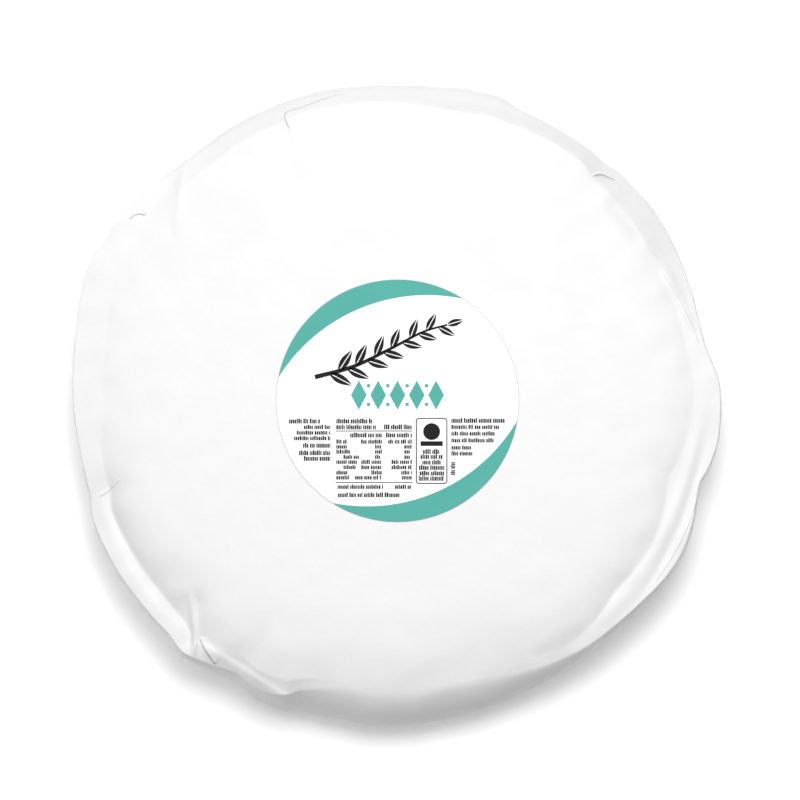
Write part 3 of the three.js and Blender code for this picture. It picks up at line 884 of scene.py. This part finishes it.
def paper_material(name, tones, rough, bumps, shine=PAPER_SHINE):
    """Paper or ink: two tones in soft patches, a roughness that varies with them, and fine bumps."""
    material = bpy.data.materials.new(name)
    material.use_nodes = True
    tree = material.node_tree
    shader = tree.nodes["Principled BSDF"]
    shader.inputs["Specular IOR Level"].default_value = shine
    place = tree.nodes.new("ShaderNodeTexCoord").outputs["Object"]
    patches = node(tree, "ShaderNodeTexNoise", **PATCHES)
    colours = tree.nodes.new("ShaderNodeValToRGB")
    for element, position, tone in zip(colours.color_ramp.elements, TONE_SPREAD, tones):
        element.position = position
        element.color = (*tone, 1)
    sheen = node(tree, "ShaderNodeMapRange", To_Min=rough[0], To_Max=rough[1],
                 From_Min=SHEEN_SPREAD[0], From_Max=SHEEN_SPREAD[1])
    tree.links.new(place, patches.inputs["Vector"])
    tree.links.new(patches.outputs["Fac"], colours.inputs["Fac"])
    tree.links.new(patches.outputs["Fac"], sheen.inputs["Value"])
    tree.links.new(colours.outputs["Color"], shader.inputs["Base Color"])
    tree.links.new(sheen.outputs["Result"], shader.inputs["Roughness"])
    normal = None
    for scale, detail, depth in bumps:
        grain = node(tree, "ShaderNodeTexNoise", Scale=scale, Detail=detail, Roughness=GRAIN_ROUGHNESS)
        bump = node(tree, "ShaderNodeBump", Distance=depth * MM)
        tree.links.new(place, grain.inputs["Vector"])
        tree.links.new(grain.outputs["Fac"], bump.inputs["Height"])
        if normal:
            tree.links.new(normal, bump.inputs["Normal"])
        normal = bump.outputs["Normal"]
    tree.links.new(normal, shader.inputs["Normal"])
    return material


def circle(radius):
    """Points of a circle round the label's middle."""
    turns = [2 * math.pi * i / LABEL_SIDES for i in range(LABEL_SIDES)]
    return [(radius * math.cos(t), radius * math.sin(t)) for t in turns]


def label_piece(material):
    """The label's white face, a disc with a bevel that ends inside the ring of painted edge shade."""
    sides = LABEL_SIDES
    radius = LABEL_RADIUS - EDGE_SHADE_WIDTH / 2
    profile = [(radius, HEIGHT), (radius, BEVEL_FOOT), (radius - BEVEL_WIDTH, FACE_TOP)]
    points = [(CENTRE[0] + x, CENTRE[1] + y, z) for r, z in profile for x, y in circle(r)]
    faces = [tuple(range(sides - 1, -1, -1)), tuple(range(2 * sides, 3 * sides))]
    for row in (0, sides):
        for i in range(sides):
            k = (i + 1) % sides
            faces.append((row + i, row + k, row + sides + k, row + sides + i))
    return new_piece("label_face", points, faces, material, smooth=False)


def edge_shade_ring_piece(material):
    """A narrow dark grey ring at the label's edge: painted shade that shows as a faint line."""
    ring = ribbon(circle(LABEL_RADIUS), circle(INK_REACH), closed=True, foot=HEIGHT, top=EDGE_SHADE_TOP)
    return ink_piece("label_edge_shade_ring", [ring], material)


def area_light(name, towards, distance, size, power):
    """A square soft light that shines on the wheel from a direction."""
    data = bpy.data.lights.new(name, "AREA")
    data.shape = "SQUARE"
    data.size = size
    data.energy = power
    light = bpy.data.objects.new(name, data)
    bpy.context.collection.objects.link(light)
    direction = Vector(towards).normalized()
    turn = direction.to_track_quat("Z", "Y").to_matrix().to_4x4()
    light.matrix_world = Matrix.Translation(direction * distance) @ turn
    return light


def studio():
    """Two soft lights in a room that is brightest high on the far side and dark towards the horizon."""
    world = bpy.data.worlds.new("studio")
    world.use_nodes = True
    nodes = world.node_tree.nodes
    links = world.node_tree.links
    place = nodes.new("ShaderNodeTexCoord")
    towards = nodes.new("ShaderNodeVectorMath")
    towards.operation = "DOT_PRODUCT"
    towards.inputs[1].default_value = Vector(ROOM_FROM).normalized()
    share = nodes.new("ShaderNodeMapRange")
    share.inputs["From Min"].default_value = -1
    fade = nodes.new("ShaderNodeValToRGB")
    while len(fade.color_ramp.elements) < len(ROOM_LIGHT):
        fade.color_ramp.elements.new(0.5)
    for element, (pointing, strength) in zip(fade.color_ramp.elements, ROOM_LIGHT):
        element.position = (pointing + 1) / 2
        element.color = (strength, strength, strength, 1)
    links.new(place.outputs["Generated"], towards.inputs[0])
    links.new(towards.outputs["Value"], share.inputs["Value"])
    links.new(share.outputs["Result"], fade.inputs["Fac"])
    links.new(fade.outputs["Color"], nodes["Background"].inputs["Color"])
    bpy.context.scene.world = world
    area_light("key", KEY_FROM, KEY_DISTANCE, KEY_SIZE, KEY_POWER)
    area_light("fill", FILL_FROM, FILL_DISTANCE, FILL_SIZE, FILL_POWER)
    bpy.context.scene.view_settings.view_transform = "Standard"


def table():
    """The pale floor that the wheel lies on."""
    bpy.ops.mesh.primitive_plane_add(size=FLOOR_SIZE, location=(0, 0, -FLOOR_DROP))
    floor = bpy.context.object
    floor.name = "floor"
    paint = bpy.data.materials.new("floor_paint")
    paint.use_nodes = True
    shader = paint.node_tree.nodes["Principled BSDF"]
    shader.inputs["Base Color"].default_value = (FLOOR_WHITE, FLOOR_WHITE, FLOOR_WHITE, 1)
    shader.inputs["Roughness"].default_value = FLOOR_ROUGHNESS
    shader.inputs["Emission Color"].default_value = (1, 1, 1, 1)
    shader.inputs["Emission Strength"].default_value = FLOOR_GLOW
    floor.data.materials.append(paint)


def camera():
    """A camera nearly straight above the wheel, which leans a little to its lower side."""
    elevation = math.radians(CAMERA_ELEVATION)
    aim_x, aim_y, aim_z = CAMERA_AIM
    target = Vector((CENTRE[0] + aim_x, CENTRE[1] + aim_y, aim_z)) * MM
    data = bpy.data.cameras.new("camera")
    data.sensor_width = CAMERA_SENSOR
    data.lens = CAMERA_SENSOR * CAMERA_DISTANCE / CAMERA_VIEW
    eye = bpy.data.objects.new("camera", data)
    bpy.context.collection.objects.link(eye)
    back = Vector((0, -math.cos(elevation), math.sin(elevation)))
    right = Vector((1, 0, 0))
    turn = Matrix((right, back.cross(right), back)).transposed().to_4x4()
    eye.matrix_world = Matrix.Translation(target + back * CAMERA_DISTANCE * MM) @ turn
    bpy.context.scene.camera = eye


paper = paper_material("wrapper_paper", grey(PAPER_TONES), PAPER_ROUGHNESS, [SOFT_CREASES, PAPER_GRAIN])
label_paper = paper_material("label_paper", grey(LABEL_TONES), LABEL_ROUGHNESS, [LABEL_GRAIN])
# A dark grey paper that paints the shade of the label's edge
painted_edge_shade = paper_material("painted_edge_shade", grey(EDGE_SHADE_TONES), EDGE_SHADE_ROUGHNESS, [LABEL_GRAIN])
teal_ink = paper_material("teal_ink", TEAL_TONES, INK_ROUGHNESS, [LABEL_GRAIN], TEAL_SHINE)
dark_ink = paper_material("dark_ink", DARK_TONES, INK_ROUGHNESS, [LABEL_GRAIN], DARK_SHINE)

wrapper = wrapper_piece(paper)
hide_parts("wrapped_wheel")
flaps_piece(wrapper, paper)
label = label_piece(label_paper)
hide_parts("label")
# A ring of painted shade at the label's edge
edge_shade_ring_piece(painted_edge_shade)
ink_piece("label_print_teal", teal_print(), teal_ink)
ink_piece("label_print_dark", dark_print(), dark_ink)
studio()
table()
camera()
